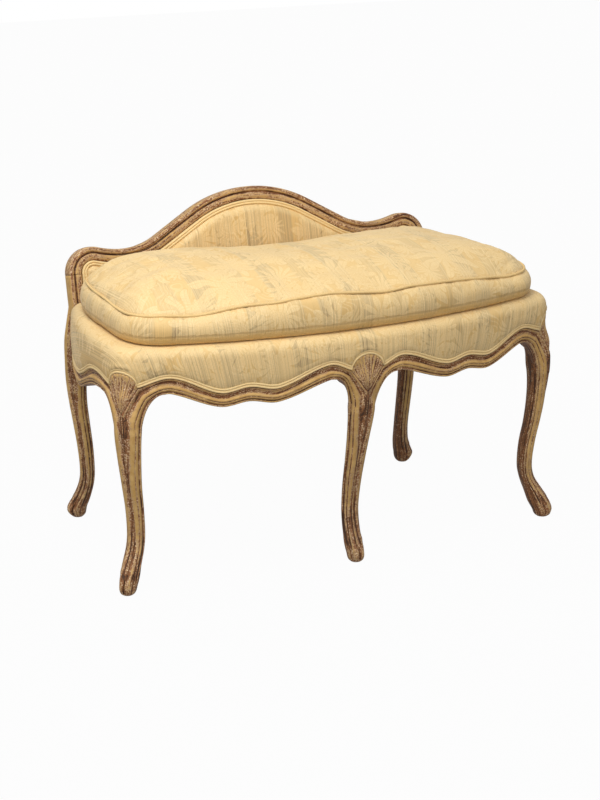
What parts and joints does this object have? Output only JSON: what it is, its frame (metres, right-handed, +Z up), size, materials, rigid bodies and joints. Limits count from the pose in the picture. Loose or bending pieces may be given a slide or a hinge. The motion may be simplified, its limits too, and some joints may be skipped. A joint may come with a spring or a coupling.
{
  "type": "settee",
  "caption": "Small settee with carved cabriole legs, bowed serpentine rails, a low shaped back, a tight damask seat and a loose box cushion.",
  "frame": {"origin": "middle of the footprint on the floor", "axes": "+X to the right seen from the front, along the seat; -Y to the front; +Z up"},
  "size_m": [0.8908, 0.5078, 0.6119],
  "materials": {
    "painted_wood": "worn antique paint",
    "bare_wood": "bare",
    "steel": "blued",
    "webbing": "woven jute",
    "hessian": "open weave",
    "stuffing": "soft fibre",
    "damask": "striped damask",
    "welt": "corded"
  },
  "bodies": {
    "frame": {"front_left_leg": "painted_wood", "front_center_leg": "painted_wood", "front_right_leg": "painted_wood", "rear_left_leg": "painted_wood", "rear_right_leg": "painted_wood", "front_left_rail": "painted_wood", "front_right_rail": "painted_wood", "left_side_rail": "painted_wood", "right_side_rail": "painted_wood", "rear_seat_rail": "painted_wood", "crest_rail": "painted_wood", "back_lower_rail": "painted_wood", "seat_center_brace": "bare_wood", "front_left_block": "bare_wood", "front_right_block": "bare_wood", "rear_left_block": "bare_wood", "rear_right_block": "bare_wood", "block_screws": "steel", "joint_pegs": "bare_wood", "seat_webbing_lengthwise": "webbing", "seat_webbing_crosswise": "webbing", "webbing_tacks": "steel", "seat_hessian": "hessian", "seat_stuffing": "stuffing", "seat_cover": "damask", "seat_double_welt": "welt", "back_webbing_upright": "webbing", "back_webbing_level": "webbing", "back_hessian": "hessian", "back_stuffing": "stuffing", "inside_back_cover": "damask", "inside_back_welt": "welt", "outside_back_cover": "damask", "outside_back_welt": "welt"},
    "cushion": {"cushion_filling": "stuffing", "cushion_top_panel": "damask", "cushion_boxing": "damask", "cushion_bottom_panel": "damask", "cushion_piping": "welt"}
  },
  "joints": [
    {"name": "cushion_lift", "type": "slide", "parent": "frame", "child": "cushion", "axis": [0, 0, 1], "range_m": [0, 0.25]}
  ]
}
